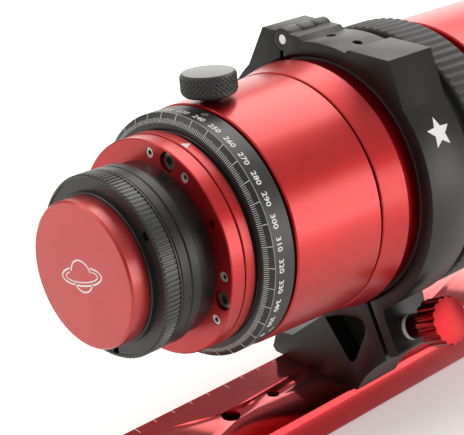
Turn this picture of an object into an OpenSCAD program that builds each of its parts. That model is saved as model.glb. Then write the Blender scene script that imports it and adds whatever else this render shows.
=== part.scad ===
// Small astrograph refractor telescope on a cradle ring and dovetail bar, with a camera-angle
// rotator, a tilt plate and an internal helical focuser.
// +Y runs along the optical axis from the camera end to the sky, +Z is up, and the origin is the
// middle of the dovetail bar's underside. All sizes are in millimetres.

/* [Optical axis] */
// Height of the optical axis above the underside of the dovetail bar
axis_h = 105; // [104.5:0.1:105.5]

/* [Rear cap] */
// Outer radius of the dust cap over the camera thread
cap_r = 27.9; // [27.8:0.1:28.4]
// Length of the dust cap
cap_len = 7.7; // [7.4:0.1:8.4]

/* [Camera adapter] */
// Outer radius of the knurled adapter ring
grip_r = 34.8; // [34.5:0.1:35.5]
// Length of the knurled adapter ring
grip_len = 7.7; // [7:0.1:9]
// Outer radius of the male camera thread (M54)
camera_thread_r = 26.95; // [26.9:0.01:26.97]
// Radius of the camera adapter's bore, which is tapped for a 2-inch filter (M48)
camera_bore_r = 23.6; // [23.55:0.01:23.65]
// Length of each spacer ring
spacer_len = 4.5; // [4.2:0.1:6]
// Length of the adapter nose behind the tilt plate
nose_len = 7.9; // [7:0.1:9]

/* [Tilt plate] */
// Outer radius of the tilt plate
plate_r = 41.8; // [41.6:0.1:42]
// Thickness of the tilt plate
plate_t = 6.25; // [6:0.05:7]
// Gap that the tilt screws hold open
tilt_gap = 0.3; // [0.2:0.1:0.5]
// Radius of the circle of tilt screws
tilt_pcr = 37.4; // [37.2:0.1:37.6]
// Groups of tilt screws around the plate
tilt_groups = 4; // [3:1:4]
// Angle between a pull screw and the push screw on either side of it
tilt_spread = 14.8; // [13:0.1:16]

/* [Rotator] */
// Outer radius of the index ring
index_r = 42.2; // [42:0.1:42.4]
// Length of the index ring
index_len = 4.65; // [4.5:0.05:5]
// Running radius of the rotator spigot in the barrel
spigot_r = 41.95; // [41.92:0.01:41.97]
// World angle of the index mark around the axis, from +X towards +Z
index_angle = 76.5; // [60:0.5:90]

/* [Scale ring] */
// Outer radius of the graduated ring
scale_r = 48; // [47.5:0.1:48.2]
// Length of the graduated ring's numbered land
scale_land = 10.1; // [9.5:0.1:11]
// Length of the graduated bevel
bevel_len = 2.3; // [2:0.1:2.6]
// Drop in radius across the graduated bevel
bevel_drop = 3.8; // [3.4:0.1:3.9]

/* [Barrel] */
// Outer radius of the barrel at its rear edge
barrel_rear_r = 48.4; // [48.2:0.1:48.6]
// Outer radius of the barrel at its front edge
barrel_front_r = 50; // [49.8:0.1:50.2]
// Length of the barrel's red skin
barrel_len = 44.2; // [43:0.1:46]
// Length of the flared collar ahead of the barrel
collar_len = 12.7; // [12:0.1:13.5]

/* [Lock knob] */
// Radius of the rotator's lock knob
knob_r = 10.5; // [9:0.1:10.6]
// Height of the lock knob's knurled head
knob_h = 8.6; // [7:0.1:10]
// World angle of the lock knob around the axis
knob_angle = 96; // [90:0.5:100]

/* [Main tube] */
// Outer radius of the tube in the cradle
tube_r = 51; // [50.9:0.05:51.05]

/* [Cradle ring] */
// Width of the cradle ring along the tube
cradle_w = 25.5; // [24:0.5:27]
// Outer radius of the cradle ring
cradle_r = 58.6; // [58:0.1:59.5]
// Inner radius of the cradle ring, over its felt
cradle_bore = 52.2; // [52.15:0.05:52.4]
// Height of the flat top pad above the optical axis
pad_h = 59; // [58.8:0.1:59.2]
// Distance from the axis down to the seat on the dovetail bar
seat_drop = 89.3; // [89.1:0.1:89.5]
// Depth of the pockets in the base block's two faces
pocket_depth = 9; // [6:0.5:11]

/* [Clamp] */
// Angle of the clamp screw above the horizontal
clamp_angle = 28; // [27.5:0.5:28.5]
// Radius of the fluted clamp knob
clamp_knob_r = 10; // [9:0.1:10.5]
// Flutes around the clamp knob
clamp_flutes = 16; // [12:1:20]

/* [Dovetail bar] */
// Length of the dovetail bar
bar_len = 240; // [230:5:260]
// Half the width of the bar's top face
bar_top_w = 21; // [20.5:0.1:21.5]
// Half the greatest width of the bar
bar_w = 22.6; // [22.2:0.1:23]

/* [Focuser] */
// Outer radius of the focus ring's metal
focus_r = 54.5; // [54:0.1:54.8]
// Outer radius of the rubber grip on the focus ring
focus_grip_r = 57.4; // [57:0.1:58]
// Travel of the lens carriage each way from the middle
focus_travel = 4; // [3:0.1:4]

/* [Front tube] */
// Outer radius of the front tube
front_r = 50.5; // [50.4:0.05:50.55]
// Length of the front tube
front_len = 102; // [100:1:104]
// Radius of the objective lenses
lens_r = 37.5; // [37:0.1:37.5]

/* [Dew shield] */
// Outer radius of the dew shield
dew_r = 54.2; // [54:0.1:54.8]
// Length of the dew shield
dew_len = 145; // [143:1:147]
// Thickness of the front cap's disc
front_cap_t = 5.3; // [4:0.1:6]

/* [Hidden] */

ROUND = 96;          // segments of the large turned parts
SMALL = 32;          // segments of screws, holes and pins
FIT = 0.05;          // radial clearance of a running fit
CUT = 1;             // how far a cutter runs past the face that it cuts

// Colours
RED = "#b3202a";
DARK_RED = "#7d1019";
BLACK = "#2a2b2b";
STEEL = "#b9bcbd";
WHITE = "#f0efea";
BRASS = "#b08d4a";
GLASS = "#9fb8c8";

// Stations along the axis, worked out from the cradle's rear face back to the cap
y_cradle = -cradle_w / 2;
y_collar_front = y_cradle - 6.65;
y_collar_back = y_collar_front - collar_len;
y_barrel_front = y_collar_back - 0.8;
y_barrel_back = y_barrel_front - barrel_len;
y_scale_front = y_barrel_back - 1.3;
y_bevel = y_scale_front - scale_land;
y_scale_back = y_bevel - bevel_len;
y_index_front = y_scale_back - 1.7;
y_index_back = y_index_front - index_len;
y_plate_front = y_index_back - tilt_gap;
y_plate_back = y_plate_front - plate_t;
y_nose_back = y_plate_back - nose_len;
y_spacer_mid = y_nose_back - spacer_len;
y_grip_front = y_spacer_mid - spacer_len;
y_grip_back = y_grip_front - grip_len;
y_cap_rim = y_grip_back - 1.7;
y_cap_back = y_cap_rim - cap_len;
y_knob = y_barrel_back + 7.8;

// Radii shared by parts that fit together
thread_r = 30;       // spigots that screw the adapter rings together
neck_r = 44;         // barrel neck that carries the scale ring
lip_t = 1;           // lip of the scale ring over the end of the neck
wide_r = 45;         // barrel bore ahead of the rotator
join_r = 47;         // joint between barrel, collar, main tube and front tube
carriage_r = 43.95;  // lens carriage in the main tube
helix_r = 49.05;     // thread zone inside the focus ring
hub_r = 33;          // rotator spigot in the index ring
groove_r = 39.9;     // bottom of the lock groove

// Stations of the focuser and the front end
y_shoulder = 15;
y_focus_back = y_shoulder + 0.6;
y_focus_front = y_focus_back + 27.8;
y_front_back = y_focus_front + 4.6;
y_front_end = y_front_back + front_len;
y_spigot_end = y_front_back + 14;
y_dew_back = y_front_back + 2;
y_dew_front = y_dew_back + dew_len;
lug_angles = [30, 150, 270];
lug_len = 9;
lug_w = 10;
y_lug = 25;

// Cradle hinge and clamp, in the X-Z plane with the optical axis at its origin
hinge_x = -22.4;
hinge_z = 56;
knuckle_r = 4.6;
knuckle_gap = 0.3;
pin_r = 2;
hinge_slit = 1.8;
knuckle_half = 4.2;  // half the length of the base's middle knuckle
clamp_x = 32.5;
clamp_z = -54.3;
clamp_slit = 2.2;
split_x = 56;        // the line from the axis to here, 100 down, lies inside the clamp slit
screw_drop = 6.2;    // how far along the slit the clamp screw lies
clamp_screw_r = 2.95;
tab_face = 5.9;      // outer face of the arm's tab from the middle of the slit
washer_t = 2;
washer_r = 5.4;
collar_knob_r = 5.4;
collar_knob_len = 10.4;
clamp_head_len = 9.9;
bolt_y = 8;          // dovetail bolts either side of the middle
pad_hole_x = 7;
bar_top = axis_h - seat_drop;

// A shape turned about the optical axis: points are [radius, station]
module turned(points) {
    translate([0, 0, axis_h]) rotate([-90, 0, 0]) rotate_extrude($fn = ROUND) polygon(points);
}

// A plain ring about the optical axis with its outer corners broken
module ring(r0, r1, y0, y1, c = 0.3) {
    turned([[r0, y0], [r1 - c, y0], [r1, y0 + c], [r1, y1 - c], [r1 - c, y1], [r0, y1]]);
}

// Children drawn along +X are carried to a world angle around the optical axis
module at_angle(angle, y = 0) {
    translate([0, y, axis_h]) rotate([0, -angle, 0]) children();
}

// A cylinder that points outwards from the optical axis
module spoke(angle, y, r0, r1, r, seg = SMALL) {
    at_angle(angle, y) translate([r0, 0, 0]) rotate([0, 90, 0]) cylinder(r = r, h = r1 - r0, $fn = seg);
}

// A cylinder parallel to the optical axis, on a circle of radius pcr
module along(angle, pcr, y0, y1, r, seg = SMALL) {
    at_angle(angle) translate([pcr, y0, 0]) rotate([-90, 0, 0]) cylinder(r = r, h = y1 - y0, $fn = seg);
}

// A flat X-Z outline about the optical axis, made into a slab from y0 to y1
module slab(y0, y1) {
    translate([0, y1, axis_h]) rotate([90, 0, 0]) linear_extrude(y1 - y0) children();
}

// Angles of the tilt plate's pull screws
function tilt_angle(i) = index_angle - i * 360 / tilt_groups;

// ---- Rear cap and camera adapter

module rear_cap() color(RED)
    turned([
        [0, y_cap_back], [cap_r - 0.8, y_cap_back], [cap_r, y_cap_back + 0.8], [cap_r, y_cap_rim],
        [camera_thread_r + 2 * FIT, y_cap_rim], [camera_thread_r + 2 * FIT, y_cap_back + 2.4],
        [0, y_cap_back + 2.4]
    ]);

module adapter_grip_ring() color(BLACK) {
    thread_back = y_cap_back + 2.7;
    shoulder = y_cap_rim + 0.15;
    relief = 1.3;
    boss_r = cap_r + 1;
    rib_h = 0.5;
    slot_w = 3.2;
    difference() {
        turned([
            [camera_bore_r, thread_back], [camera_thread_r - 0.6, thread_back],
            [camera_thread_r, thread_back + 0.6], [camera_thread_r, shoulder - relief],
            [camera_thread_r - 0.6, shoulder - relief], [camera_thread_r - 0.6, shoulder],
            [boss_r - 0.3, shoulder], [boss_r, shoulder + 0.3],
            [boss_r, y_grip_back + 0.3], [grip_r - 1.6, y_grip_back + 0.3],
            [grip_r - 1.6, y_grip_back], [grip_r - 0.7, y_grip_back],
            [grip_r - rib_h, y_grip_back + 0.9], [grip_r - rib_h, y_grip_front - 0.9],
            [grip_r, y_grip_front - 0.8], [grip_r, y_grip_front - 0.3],
            [grip_r - 0.3, y_grip_front], [thread_r, y_grip_front],
            [thread_r, y_grip_front - 2], [camera_bore_r, y_grip_front - 2]
        ]);
        // spanner slots in the rear face
        for (k = [0:2]) at_angle(-80.5 + 120 * k, y_grip_back)
            translate([boss_r + 1.2, -CUT, -slot_w / 2]) cube([3, CUT + 2, slot_w]);
    }
}

// Spacer ring with a spigot at its rear and a recess at its front
module spacer(y0, bore) {
    turned([
        [bore, y0 - 1.9], [thread_r - FIT, y0 - 1.9], [thread_r - FIT, y0 + 0.05],
        [grip_r - 0.5, y0 + 0.05], [grip_r - 0.1, y0 + 0.45],
        [grip_r - 0.1, y0 + spacer_len - 0.45], [grip_r - 0.5, y0 + spacer_len - 0.05],
        [thread_r, y0 + spacer_len - 0.05], [thread_r, y0 + spacer_len - 2.1],
        [bore, y0 + spacer_len - 2.1]
    ]);
}

module spacer_ring_rear() color(BLACK) spacer(y_grip_front, camera_bore_r + 1);

module spacer_ring_front() color(BLACK) spacer(y_spacer_mid, camera_bore_r + 2);

module adapter_nose() color(BLACK)
    turned([
        [camera_bore_r + 2.5, y_nose_back - 1.9], [thread_r - FIT, y_nose_back - 1.9],
        [thread_r - FIT, y_nose_back + 0.05], [grip_r - 1.8, y_nose_back + 0.05],
        [grip_r - 1.4, y_nose_back + 0.45], [grip_r - 1.4, y_plate_back - 0.05],
        [thread_r - FIT, y_plate_back - 0.05], [thread_r - FIT, y_plate_front - 1],
        [camera_bore_r + 2.5, y_plate_front - 1]
    ]);

// ---- Tilt plate

push_r = 2;
pull_head_r = 3.3;
pull_bore_r = 3.85;  // counterbore of a pull screw
pull_sunk = 1.1;     // depth of its head's top below the plate's face

module tilt_plate() color(RED)
    difference() {
        turned([
            [thread_r, y_plate_back], [plate_r - 0.4, y_plate_back],
            [plate_r, y_plate_back + 0.4], [plate_r, y_plate_front - 0.2],
            [plate_r - 0.2, y_plate_front], [thread_r, y_plate_front]
        ]);
        for (i = [0:tilt_groups - 1]) {
            for (s = [-1, 1])
                along(tilt_angle(i) + s * tilt_spread, tilt_pcr, y_plate_back - CUT,
                      y_plate_front + CUT, push_r);
            along(tilt_angle(i), tilt_pcr, y_plate_back - CUT, y_plate_front + CUT, push_r + 0.2);
            along(tilt_angle(i), tilt_pcr, y_plate_back - CUT, y_plate_back + 4.2, pull_bore_r);
            // blind holes half way between the groups
            along(tilt_angle(i) - 180 / tilt_groups, tilt_pcr - 0.6, y_plate_back - CUT,
                  y_plate_back + 5, 1.8);
        }
    }

// Set screw with a hexagon socket
module set_screw(angle, y0, y1) {
    difference() {
        along(angle, tilt_pcr, y0, y1, push_r - 0.03);
        along(angle, tilt_pcr, y0 - CUT, y0 + 2, 1.15, 6);
    }
}

module tilt_push_screws() color(STEEL)
    for (i = [0:tilt_groups - 1], s = [-1, 1])
        set_screw(tilt_angle(i) + s * tilt_spread, y_plate_back + 0.3, y_index_back - 0.02);

// Cap screw with a hexagon socket, its head in the plate and its shank in the index ring
module tilt_pull_screws() color(BLACK)
    for (i = [0:tilt_groups - 1])
        difference() {
            union() {
                along(tilt_angle(i), tilt_pcr, y_plate_back + pull_sunk, y_plate_back + 4.2, pull_head_r);
                along(tilt_angle(i), tilt_pcr, y_plate_back + 4, y_index_back + 3.4, push_r - 0.03);
            }
            along(tilt_angle(i), tilt_pcr, y_plate_back, y_plate_back + pull_sunk + 2, 1.7, 6);
        }

// ---- Rotator

// Pointer outline on the index ring: station along x, width along y
module pointer(shrink) {
    polygon([
        [0.5 + shrink, -1.75 + shrink], [0.5 + shrink, 1.75 - shrink],
        [index_len - 0.6 - 1.5 * shrink, 0]
    ]);
}

// The pointer as a thin slab, standing out along the index angle
module pointer_slab(r0, r1, shrink) {
    at_angle(index_angle, y_index_back) translate([r0, 0, 0]) rotate([0, 90, 0]) rotate([0, 0, 90])
        linear_extrude(r1 - r0) pointer(shrink);
}

module index_ring() color(RED)
    difference() {
        turned([
            [hub_r, y_index_back], [index_r - 0.3, y_index_back], [index_r, y_index_back + 0.3],
            [index_r, y_index_front - 0.5], [index_r - 0.5, y_index_front], [hub_r, y_index_front]
        ]);
        for (i = [0:tilt_groups - 1])
            along(tilt_angle(i), tilt_pcr, y_index_back - CUT, y_index_back + 3.7, push_r);
        pointer_slab(index_r - 0.6, index_r + CUT, 0);
    }

module index_mark() color(WHITE)
    pointer_slab(index_r - 0.55, index_r - 0.02, 0.02);

module rotator_spigot() color(BLACK)
    turned([
        [29, y_index_back + 0.2], [hub_r - FIT, y_index_back + 0.2],
        [hub_r - FIT, y_index_front + 0.05], [spigot_r - 0.9, y_index_front + 0.05],
        [spigot_r - 0.9, y_scale_back + 0.6], [spigot_r, y_scale_back + 1.2],
        [spigot_r, y_knob - 2.1], [groove_r, y_knob - 0.6], [groove_r, y_knob + 0.6],
        [spigot_r, y_knob + 2.1], [spigot_r, y_knob + 10.2], [38, y_knob + 10.2],
        [38, y_knob + 14.8], [35, y_knob + 14.8], [35, y_index_front + 4.5],
        [29, y_index_front + 4.5]
    ]);

module rotator_retainer() color(BLACK)
    ring(38 + FIT, wide_r - 0.4, y_knob + 10.25, y_knob + 14.3);

// Its lip laps over the rear face of the barrel's neck
module scale_ring() color(BLACK)
    difference() {
        turned([
            [spigot_r + 0.15, y_scale_back], [scale_r - bevel_drop, y_scale_back],
            [scale_r, y_bevel], [scale_r, y_scale_front - 0.3], [scale_r - 0.3, y_scale_front],
            [neck_r + FIT, y_scale_front], [neck_r + FIT, y_scale_back + lip_t],
            [spigot_r + 0.15, y_scale_back + lip_t]
        ]);
        for (k = [0:2]) spoke(84.4 + 120 * k, y_bevel + 7.2, neck_r - CUT, scale_r + CUT, 1.5);
    }

module scale_ring_screws() color(STEEL)
    for (k = [0:2])
        difference() {
            spoke(84.4 + 120 * k, y_bevel + 7.2, neck_r + 0.1, scale_r - 0.2, 1.47);
            spoke(84.4 + 120 * k, y_bevel + 7.2, scale_r - 2, scale_r, 0.75, 6);
        }

module rear_barrel() color(RED)
    difference() {
        turned([
            [spigot_r + FIT, y_scale_back + lip_t + 0.05],
            [neck_r - 0.3, y_scale_back + lip_t + 0.05],
            [neck_r, y_scale_back + lip_t + 0.35], [neck_r, y_barrel_back],
            [barrel_rear_r - 0.5, y_barrel_back], [barrel_rear_r, y_barrel_back + 0.6],
            [barrel_front_r, y_barrel_front - 0.3], [barrel_front_r - 0.3, y_barrel_front],
            [join_r, y_barrel_front], [join_r, y_barrel_front - 12.2],
            [wide_r, y_barrel_front - 12.2], [wide_r, y_knob + 9.9],
            [spigot_r + FIT, y_knob + 9.9]
        ]);
        spoke(knob_angle, y_knob, spigot_r - CUT, barrel_front_r + CUT, 2.5 + FIT);
    }

// The knob's head stands 2 mm off the barrel on a short neck
module lock_knob() color(BLACK) {
    head = barrel_rear_r + 2.3;
    spoke(knob_angle, y_knob, head + 0.8, head + knob_h - 0.5, knob_r, ROUND);
    at_angle(knob_angle, y_knob) translate([head, 0, 0]) rotate([0, 90, 0]) {
        cylinder(r1 = knob_r - 0.8, r2 = knob_r, h = 0.8, $fn = ROUND);
        translate([0, 0, knob_h - 0.5])
            cylinder(r1 = knob_r, r2 = knob_r - 0.5, h = 0.5, $fn = ROUND);
    }
    spoke(knob_angle, y_knob, barrel_rear_r + 0.6, head, 4);
    spoke(knob_angle, y_knob, neck_r + 0.7, barrel_rear_r + 0.6, 2.5);
}

// Brass shoe between the lock screw and the groove
module lock_shoe() color(BRASS)
    at_angle(knob_angle, y_knob) rotate([0, 90, 0]) {
        translate([0, 0, groove_r + 0.5]) cylinder(r1 = 0.4, r2 = 2.3, h = 2.1, $fn = SMALL);
        translate([0, 0, groove_r + 2.6]) cylinder(r = 2.3, h = 2, $fn = SMALL);
    }

// ---- Main tube

module collar() color(RED)
    turned([
        [join_r, y_collar_back], [barrel_front_r - 0.1, y_collar_back],
        [barrel_front_r + 0.3, y_collar_back + 0.4], [tube_r + 1.6, y_collar_front - 0.5],
        [tube_r + 1.2, y_collar_front], [join_r, y_collar_front]
    ]);

module main_tube() color(DARK_RED)
    difference() {
        turned([
            [wide_r, y_barrel_front - 12.1], [join_r - FIT, y_barrel_front - 12.1],
            [join_r - FIT, y_collar_front + 0.05], [tube_r, y_collar_front + 0.05],
            [tube_r, y_shoulder], [join_r, y_shoulder], [join_r, y_spigot_end],
            [carriage_r + FIT, y_spigot_end], [carriage_r + FIT, y_cradle],
            [wide_r, y_cradle]
        ]);
        // slots that the carriage's lugs slide in
        for (a = lug_angles) at_angle(a, y_lug - focus_travel - 0.5)
            translate([carriage_r - CUT, 0, -lug_w / 2 - FIT])
                cube([join_r - carriage_r + 2 * CUT, lug_len + 2 * focus_travel + 1, lug_w + 2 * FIT]);
    }

// ---- Cradle

// Clamp frame: x runs along the clamp screw outwards, y up along the slit
module clamp_frame() {
    translate([clamp_x, clamp_z]) rotate(clamp_angle) children();
}

// Whole outline of the cradle: ring, top pad with its channel, base block and clamp tab
module cradle_outline() {
    difference() {
        union() {
            circle(r = cradle_r, $fn = ROUND);
            polygon([
                [-30, 20], [-41.6, 41.2], [-33.6, pad_h], [-13.4, pad_h], [-11.5, pad_h - 1.5],
                [11.5, pad_h - 1.5], [13.4, pad_h], [33.6, pad_h], [41.6, 41.2], [30, 20]
            ]);
            polygon([
                [2.5, -50], [2.5, -61.2], [-14.8, -77.2], [-24.6, -79], [-26.6, 2 - seat_drop],
                [-24.8, -seat_drop], [23.3, -seat_drop],
                [25.2, -85.5], [28.4, -80], [32.5, -75], [40.5, -66.8], [30, -45]
            ]);
            clamp_frame() polygon([
                [-1, 14], [9, 14], [6.8, 6], [tab_face, 1], [tab_face, -12], [6.6, -13.4],
                [6.6, -14.6], [-1, -14.6]
            ]);
        }
        circle(r = cradle_bore, $fn = ROUND);
    }
}

// Pockets in both faces of the base block, between the ring and the seat
module base_pockets() {
    for (y = [y_cradle - CUT, -y_cradle - pocket_depth])
        slab(y, y + pocket_depth + CUT) polygon([
            [4.2, -61.2], [18.2, -76.4], [19.4, -77.1], [20.6, -76.8], [22.1, -74.8], [26.6, -61.6],
            [26.9, -58.6], [26.2, -56.4], [24.4, -54.9], [21.9, -54.5], [16.3, -56], [10.6, -57.9]
        ]);
}

// Region of the hinged arm, right of the hinge slit and of the clamp slit
module arm_region() {
    difference() {
        polygon([[hinge_x + hinge_slit / 2, 80], [hinge_x + hinge_slit / 2, 20], [0, 0],
                 [split_x, -100], [120, -100], [120, 80]]);
        clamp_frame() translate([clamp_slit / 2 - 100, -60]) square([100, 90]);
    }
}

// Region of the base, left of the hinge slit and of the clamp slit
module base_region() {
    difference() {
        polygon([[hinge_x - hinge_slit / 2, 80], [hinge_x - hinge_slit / 2, 20], [0, 0],
                 [100, 0], [100, -120], [-100, -120], [-100, 80]]);
        clamp_frame() translate([-clamp_slit / 2, -60]) square([100, 140]);
    }
}

module knuckle_disc(r) {
    translate([hinge_x, hinge_z]) circle(r = r, $fn = 48);
}

// A half of the cradle, in three stretches so that the knuckles interleave
module cradle_half(own_middle) {
    gap = knuckle_gap / 2;
    for (span = [[y_cradle, -knuckle_half, false], [-knuckle_half, knuckle_half, true],
                 [knuckle_half, -y_cradle, false]]) {
        owns = span[2] == own_middle;
        inset = owns ? gap : 0;
        slab(span[0], span[1]) difference() {
            children();
            knuckle_disc(knuckle_r + knuckle_gap);
        }
        if (owns) slab(span[0] == y_cradle ? span[0] : span[0] + inset,
                       span[1] == -y_cradle ? span[1] : span[1] - inset)
            intersection() {
                union() {
                    knuckle_disc(knuckle_r);
                    intersection() {
                        knuckle_disc(knuckle_r + 2);
                        children();
                    }
                }
                union() {
                    knuckle_disc(knuckle_r);
                    children();
                }
            }
    }
}

module pin_bore(r) {
    translate([hinge_x, -cradle_w, axis_h + hinge_z]) rotate([-90, 0, 0])
        cylinder(r = r, h = 2 * cradle_w, $fn = SMALL);
}

// A cylinder along the clamp screw's axis from n0 to n1, measured from the middle of the slit
module clamp_rod(n0, n1, r, seg = SMALL) {
    translate([clamp_x, 0, axis_h + clamp_z]) rotate([0, -clamp_angle, 0])
        translate([n0, 0, -screw_drop]) rotate([0, 90, 0]) cylinder(r = r, h = n1 - n0, $fn = seg);
}

// Chamfers at both ends of the cradle's bore
module bore_chamfers() {
    for (s = [-1, 1]) translate([0, 0, axis_h]) rotate([-90, 0, 0]) translate([0, 0, s * cradle_w / 2])
        rotate([s > 0 ? 180 : 0, 0, 0]) translate([0, 0, -0.01])
            cylinder(r1 = cradle_bore + 1.3, r2 = cradle_bore, h = 1.3, $fn = ROUND);
}

module cradle_base() color(BLACK)
    difference() {
        cradle_half(true) intersection() {
            cradle_outline();
            base_region();
        }
        pin_bore(pin_r);
        bore_chamfers();
        base_pockets();
        clamp_rod(-8.2, 0, clamp_screw_r + 0.45);
        for (s = [-1, 1]) translate([0, s * bolt_y, bar_top - CUT])
            cylinder(r = 3, h = 13 + CUT, $fn = SMALL);
    }

module cradle_arm() color(BLACK)
    difference() {
        cradle_half(false) intersection() {
            cradle_outline();
            arm_region();
        }
        pin_bore(pin_r + FIT);
        bore_chamfers();
        clamp_rod(0, 20, clamp_screw_r + 2 * FIT);
        for (s = [-1, 1]) translate([s * pad_hole_x, 0, axis_h + pad_h - 5.2])
            cylinder(r = 2.1, h = 6, $fn = SMALL);
    }

module hinge_pin() color(STEEL)
    translate([hinge_x, y_cradle + 0.2, axis_h + hinge_z]) rotate([-90, 0, 0])
        cylinder(r = pin_r, h = cradle_w - 0.4, $fn = SMALL);

// Felt lining of the cradle's bore
module felt() {
    slab(-cradle_w / 2 + 1.4, cradle_w / 2 - 1.4) intersection() {
        difference() {
            circle(r = cradle_bore - 0.02, $fn = ROUND);
            circle(r = tube_r + 0.08, $fn = ROUND);
        }
        children();
    }
}

module cradle_felt_base() color("#161616") felt() base_region();

// The arm's felt stops short of the hinge, so that it swings clear of the tube
module cradle_felt_arm() color("#161616")
    felt() intersection() {
        arm_region();
        polygon([[0, 0], [2 * hinge_x, 2 * hinge_z], [120, 2 * hinge_z], [120, -120], [split_x, -100]]);
    }

module clamp_washer() color(WHITE)
    difference() {
        clamp_rod(tab_face, tab_face + washer_t, washer_r);
        clamp_rod(tab_face - CUT, tab_face + washer_t + CUT, clamp_screw_r + 2 * FIT);
    }

module clamp_knob() color(RED) {
    back = tab_face + washer_t + 0.05;
    head = back + collar_knob_len;
    difference() {
        union() {
            clamp_rod(back, head, collar_knob_r);
            clamp_rod(head, head + clamp_head_len, clamp_knob_r, 64);
        }
        clamp_rod(back - CUT, back + 9, clamp_screw_r);
        for (i = [0:clamp_flutes - 1]) {
            a = i * 360 / clamp_flutes;
            translate([clamp_x, 0, axis_h + clamp_z]) rotate([0, -clamp_angle, 0])
                translate([head - CUT, 0, -screw_drop]) rotate([a, 0, 0])
                    translate([0, clamp_knob_r + 0.35, 0]) rotate([0, 90, 0])
                        cylinder(r = 1.15, h = clamp_head_len + 2 * CUT, $fn = 12);
        }
    }
}

module clamp_screw() color(STEEL)
    clamp_rod(-7.1, tab_face + washer_t + 9, clamp_screw_r);

// ---- Dovetail bar

module dovetail_bar() color(RED)
    difference() {
        translate([0, bar_len / 2, 0]) rotate([90, 0, 0]) linear_extrude(bar_len) polygon([
            [-bar_top_w + 0.5, bar_top], [bar_top_w - 0.5, bar_top], [bar_top_w, bar_top - 0.5],
            [bar_w, bar_top - 6.3], [bar_w, 0.8], [bar_w - 0.8, 0], [0.8 - bar_w, 0],
            [-bar_w, 0.8], [-bar_w, bar_top - 6.3], [-bar_top_w, bar_top - 0.5]
        ]);
        for (s = [-1, 1]) {
            translate([0, s * bolt_y, -CUT]) {
                cylinder(r = 3.3, h = bar_top + 2 * CUT, $fn = SMALL);
                cylinder(r = 5.2, h = 7 + CUT, $fn = SMALL);
            }
            // quarter-inch and three-eighths tripod holes
            translate([0, s * 40, -CUT]) cylinder(r = 2.55, h = bar_top + 2 * CUT, $fn = SMALL);
            translate([0, s * 65, -CUT]) cylinder(r = 3.97, h = bar_top + 2 * CUT, $fn = SMALL);
        }
    }

module dovetail_bolts() color(STEEL)
    for (s = [-1, 1]) translate([0, s * bolt_y, 0]) difference() {
        union() {
            translate([0, 0, 1]) cylinder(r = 5, h = 6, $fn = SMALL);
            translate([0, 0, 6]) cylinder(r = 2.97, h = bar_top + 5, $fn = SMALL);
        }
        cylinder(r = 2.9, h = 4, $fn = 6);
    }

// ---- Focuser

module focus_ring() color(BLACK)
    turned([
        [join_r + FIT, y_focus_back], [focus_r - 4, y_focus_back], [focus_r, y_focus_back + 3.4],
        [focus_r, y_focus_front - 1], [focus_r - 1, y_focus_front],
        [join_r + FIT, y_focus_front], [join_r + FIT, y_focus_front - 3.9],
        [helix_r, y_focus_front - 3.9], [helix_r, y_focus_back + 3.9],
        [join_r + FIT, y_focus_back + 3.9]
    ]);

module focus_grip() color("#1c1c1c")
    ring(focus_r + 0.02, focus_grip_r, y_focus_back + 5, y_focus_front - 2.5, 0.6);

module focus_retainer() color(RED)
    ring(join_r + FIT, 52.5, y_focus_front + 0.4, y_front_back - 0.3, 0.5);

module lens_carriage() color(BLACK) {
    difference() {
        turned([
            [30.5, 6], [carriage_r - 0.5, 6], [carriage_r, 6.5], [carriage_r, 51.5],
            [carriage_r - 0.5, 52], [40, 52], [36, 34], [34.05, 34], [34.05, 12], [30.5, 12]
        ]);
    }
    // lugs that reach through the main tube's slots into the focus ring's thread
    for (a = lug_angles) intersection() {
        at_angle(a, y_lug) translate([carriage_r - 0.6, 0, -lug_w / 2])
            cube([helix_r - carriage_r + CUT, lug_len, lug_w]);
        turned([
            [carriage_r - 0.6, y_lug], [helix_r - 2 * FIT, y_lug],
            [helix_r - 2 * FIT, y_lug + lug_len], [carriage_r - 0.6, y_lug + lug_len]
        ]);
    }
}

// Sag of a spherical face at a radius from its vertex: a negative curve is hollow
function sag(curve, r) = sign(curve) * (abs(curve) - sqrt(curve * curve - r * r));

// Lens turned from two spherical faces, y0 and y1 their vertices
module lens(r, y0, curve0, y1, curve1, steps = 10) {
    turned(concat(
        [for (i = [0:steps]) [r * i / steps, y0 + sag(curve0, r * i / steps)]],
        [for (i = [steps:-1:0]) [r * i / steps, y1 - sag(curve1, r * i / steps)]]
    ));
}

module corrector_lens_rear() color(GLASS) lens(34, 15, -210, 20, -260);

module corrector_lens_front() color(GLASS) lens(34, 22.6, 150, 31, 190);

module corrector_spacer() color(BLACK) ring(31.5, 34, 22.3, 25.9, 0);

module corrector_retainer() color(BLACK) ring(31.2, 34, 28.6, 31.8, 0);

// ---- Front tube and objective

module front_tube() color(RED)
    turned([
        [join_r + FIT, y_front_back], [front_r - 0.4, y_front_back],
        [front_r, y_front_back + 0.4], [front_r, y_front_end], [46.5, y_front_end],
        [46.5, y_spigot_end + 0.2], [join_r + FIT, y_spigot_end + 0.2]
    ]);

// Knife-edge baffles, one behind the other
module tube_baffles() color(BLACK)
    for (b = [[80, 33.5], [112, 35.5]])
        turned([
            [b[1], b[0]], [b[1] + 0.4, b[0] - 0.4], [46.4, b[0] - 0.4], [46.4, b[0] + 6],
            [44.9, b[0] + 6], [44.9, b[0] + 1.2], [b[1] + 1, b[0] + 1.2]
        ]);

module dew_felt() color("#161616") ring(front_r + 0.02, 51.9, y_front_end - 22, y_front_end - 10);

module objective_cell() color(BLACK)
    turned([
        [35.8, 139], [46.4, 139], [46.4, y_front_end + 0.05], [front_r - 0.1, y_front_end + 0.05],
        [front_r - 0.1, y_front_end + 6], [46, y_front_end + 6.6], [46, 176],
        [41.5, 176], [40, 174.6], [40, 169.6], [lens_r + 0.05, 169.6], [lens_r + 0.05, 143.4],
        [35.8, 143.4]
    ]);

module objective_lens_back() color(GLASS) lens(lens_r, 146, -300, 152, 160);

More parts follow.
